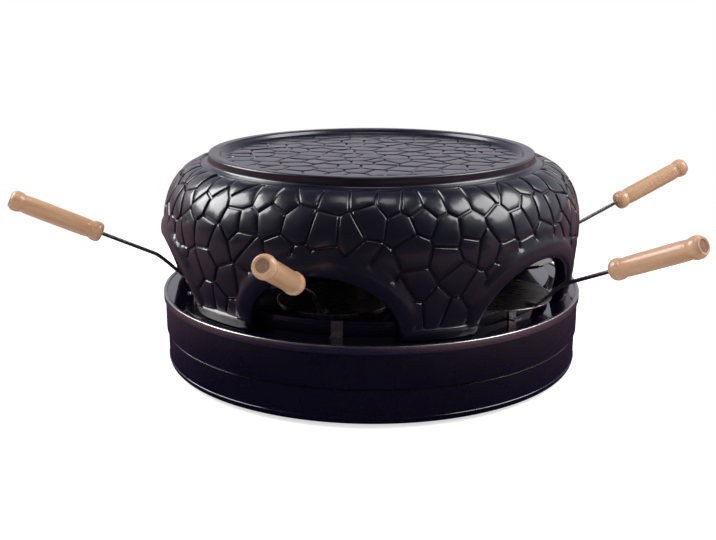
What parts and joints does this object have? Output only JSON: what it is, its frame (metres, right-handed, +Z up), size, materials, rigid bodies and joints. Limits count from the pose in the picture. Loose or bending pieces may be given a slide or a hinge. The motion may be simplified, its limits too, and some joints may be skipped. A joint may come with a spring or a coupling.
{
  "type": "electric pizza maker",
  "caption": "Round electric table-top pizza maker: heated base with steel ring, lift-off stone-relief ceramic dome with arched openings, wooden-handled spatulas.",
  "frame": {"origin": "centre of the circle that the rubber feet stand on, in the plane of the table", "axes": "+Z up, along the axis of the base and dome; -Y out through the front arched opening; +Y through the switch"},
  "size_m": [0.6036, 0.5185, 0.2],
  "materials": {
    "base_paint": "satin black stoving paint",
    "ring_steel": "brushed, bright along its top edge",
    "pan_enamel": "high-gloss black enamel",
    "plate_coating": "glossy black non-stick coating",
    "clip_steel": "plain spring steel",
    "reflector_aluminium": "bright rolled sheet",
    "heater_sheath": "heat-darkened tube",
    "bracket_steel": "zinc-plated",
    "bush_ceramic": "unglazed white porcelain",
    "column_steel": "drawn tube",
    "thermostat_can": "dull",
    "cover_paint": "semi-matt dark grey",
    "foot_rubber": "matt",
    "screw_zinc": "zinc-plated",
    "switch_plastic": "fine-grained",
    "rocker_plastic": "glossy translucent red",
    "gland_plastic": "matt",
    "dome_glaze": "satin blue-black glaze over stone relief",
    "blade_steel": "plain rolled sheet",
    "rod_steel": "heat-darkened near the blade",
    "handle_beech": "turned beech under clear lacquer"
  },
  "bodies": {
    "base": {"base_shell": "base_paint", "trim_ring": "ring_steel", "drip_pan": "pan_enamel", "baking_plate": "plate_coating", "plate_clips": "clip_steel", "heat_reflector": "reflector_aluminium", "lower_heater": "heater_sheath", "heater_brackets": "bracket_steel", "heater_bushes": "bush_ceramic", "center_column": "column_steel", "column_nut": "bracket_steel", "upper_heater": "heater_sheath", "heater_spider": "bracket_steel", "column_cap": "column_steel", "thermostat": "thermostat_can", "thermal_fuse": "bush_ceramic", "terminal_block": "bush_ceramic", "bottom_cover": "cover_paint", "rubber_feet": "foot_rubber", "cover_screws": "screw_zinc", "switch_housing": "switch_plastic", "cord_gland": "gland_plastic", "gland_nut": "gland_plastic"},
    "dome": {"dome": "dome_glaze"},
    "rocker": {"switch_rocker": "rocker_plastic"},
    "left_spatula": {"left_blade": "blade_steel", "left_rod": "rod_steel", "left_handle": "handle_beech"},
    "front_spatula": {"front_blade": "blade_steel", "front_rod": "rod_steel", "front_handle": "handle_beech"},
    "right_spatula": {"right_blade": "blade_steel", "right_rod": "rod_steel", "right_handle": "handle_beech"},
    "rear_spatula": {"rear_blade": "blade_steel", "rear_rod": "rod_steel", "rear_handle": "handle_beech"}
  },
  "joints": [
    {"name": "dome_lift", "type": "slide", "parent": "base", "child": "dome", "axis": [0, 0, 1], "range_m": [0, 0.16]},
    {"name": "rocker_tilt", "type": "hinge", "parent": "base", "child": "rocker", "pos_m": [0, 0.1979, 0.049], "axis": [-1, 0, 0], "range_deg": [0, 16]},
    {"name": "left_slide", "type": "slide", "parent": "base", "child": "left_spatula", "axis": [-0.866, -0.5, 0], "range_m": [0, 0.15]},
    {"name": "front_slide", "type": "slide", "parent": "base", "child": "front_spatula", "axis": [0, -1, 0], "range_m": [0, 0.15]},
    {"name": "right_slide", "type": "slide", "parent": "base", "child": "right_spatula", "axis": [0.866, -0.5, 0], "range_m": [0, 0.15]},
    {"name": "rear_slide", "type": "slide", "parent": "base", "child": "rear_spatula", "axis": [0.866, 0.5, 0], "range_m": [0, 0.15]}
  ]
}
